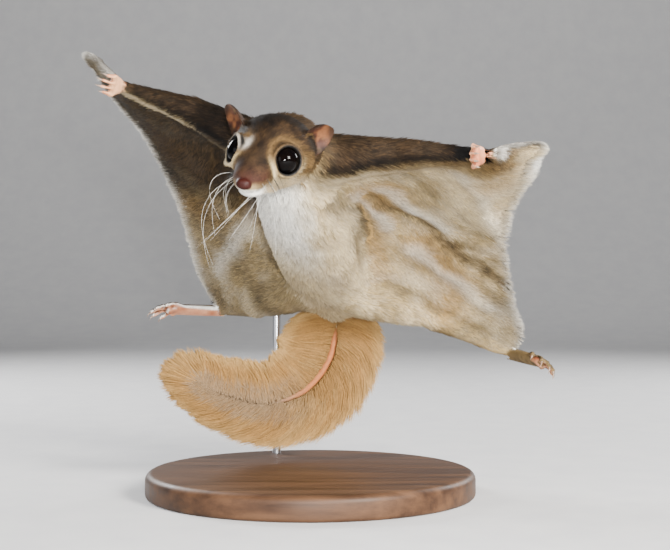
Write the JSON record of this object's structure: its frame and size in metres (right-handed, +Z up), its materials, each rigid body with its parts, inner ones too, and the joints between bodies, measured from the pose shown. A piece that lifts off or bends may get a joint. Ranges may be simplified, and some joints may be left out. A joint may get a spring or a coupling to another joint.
{
  "type": "flying squirrel model",
  "caption": "Life-size flying squirrel in a glide, membranes spread between the limbs, flat bushy tail, held on a slim rod over a round base.",
  "frame": {"origin": "centre of the underside of the stand's base", "axes": "+Z up; the squirrel looks towards -Y and its left side lies towards +X"},
  "size_m": [0.1594, 0.1511, 0.1483],
  "materials": {
    "fur_back": "short dense grey-brown fur, matte",
    "fur_belly": "cream fur, matte",
    "fur_tail": "long tan fur, matte",
    "bare_skin": "bare pink skin",
    "nose_skin": "moist bare skin",
    "eye_black": "glossy black",
    "stand_wood": "dark satin wood",
    "stand_steel": "satin steel"
  },
  "bodies": {
    "root": {"rump": "fur_back", "neck": "fur_back", "head": "fur_back", "upper_arm_left": "fur_back", "forearm_left": "fur_back", "wing_tip_left": "fur_back", "upper_arm_right": "fur_back", "forearm_right": "fur_back", "wing_tip_right": "fur_back", "chest": "fur_belly", "belly": "fur_belly", "thigh_left": "fur_belly", "shank_left": "fur_belly", "membrane_left": "fur_belly", "thigh_right": "fur_belly", "shank_right": "fur_belly", "membrane_right": "fur_belly", "tail_base": "fur_tail", "tail_middle": "fur_tail", "tail_tip": "fur_tail", "hand_left": "bare_skin", "foot_left": "bare_skin", "ear_left": "bare_skin", "hand_right": "bare_skin", "foot_right": "bare_skin", "ear_right": "bare_skin", "nose": "nose_skin", "eye_left": "eye_black", "eye_right": "eye_black", "stand_base": "stand_wood", "stand_rod": "stand_steel"}
  },
  "joints": []
}
